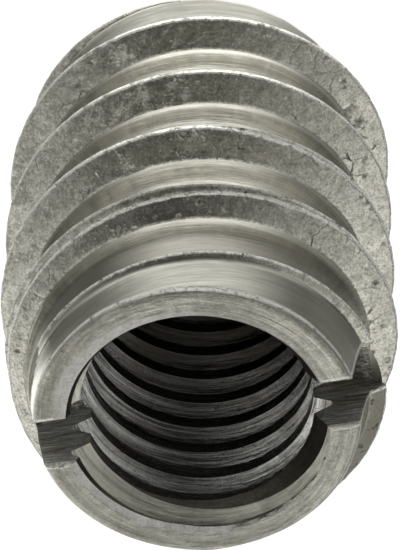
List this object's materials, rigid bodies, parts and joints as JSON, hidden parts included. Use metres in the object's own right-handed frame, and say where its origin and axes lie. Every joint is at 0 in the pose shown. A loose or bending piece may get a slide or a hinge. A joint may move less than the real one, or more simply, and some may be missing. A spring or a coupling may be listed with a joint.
{
  "type": "threaded insert",
  "caption": "Slotted screw-in threaded insert: a steel sleeve with a coarse sharp outer ridge, a tapered nose, an inner thread and a driver slot across one end.",
  "frame": {"origin": "centre of the plain end face, which the insert stands on", "axes": "+Z along the bore axis towards the slotted end; -Y faces the front, where the outer ridge crosses at its first crest height"},
  "size_m": [0.012, 0.012, 0.016],
  "materials": {
    "steel": "bare machined steel, satin, slightly stained and scuffed"
  },
  "bodies": {
    "root": {"insert_body": "steel"}
  },
  "joints": []
}
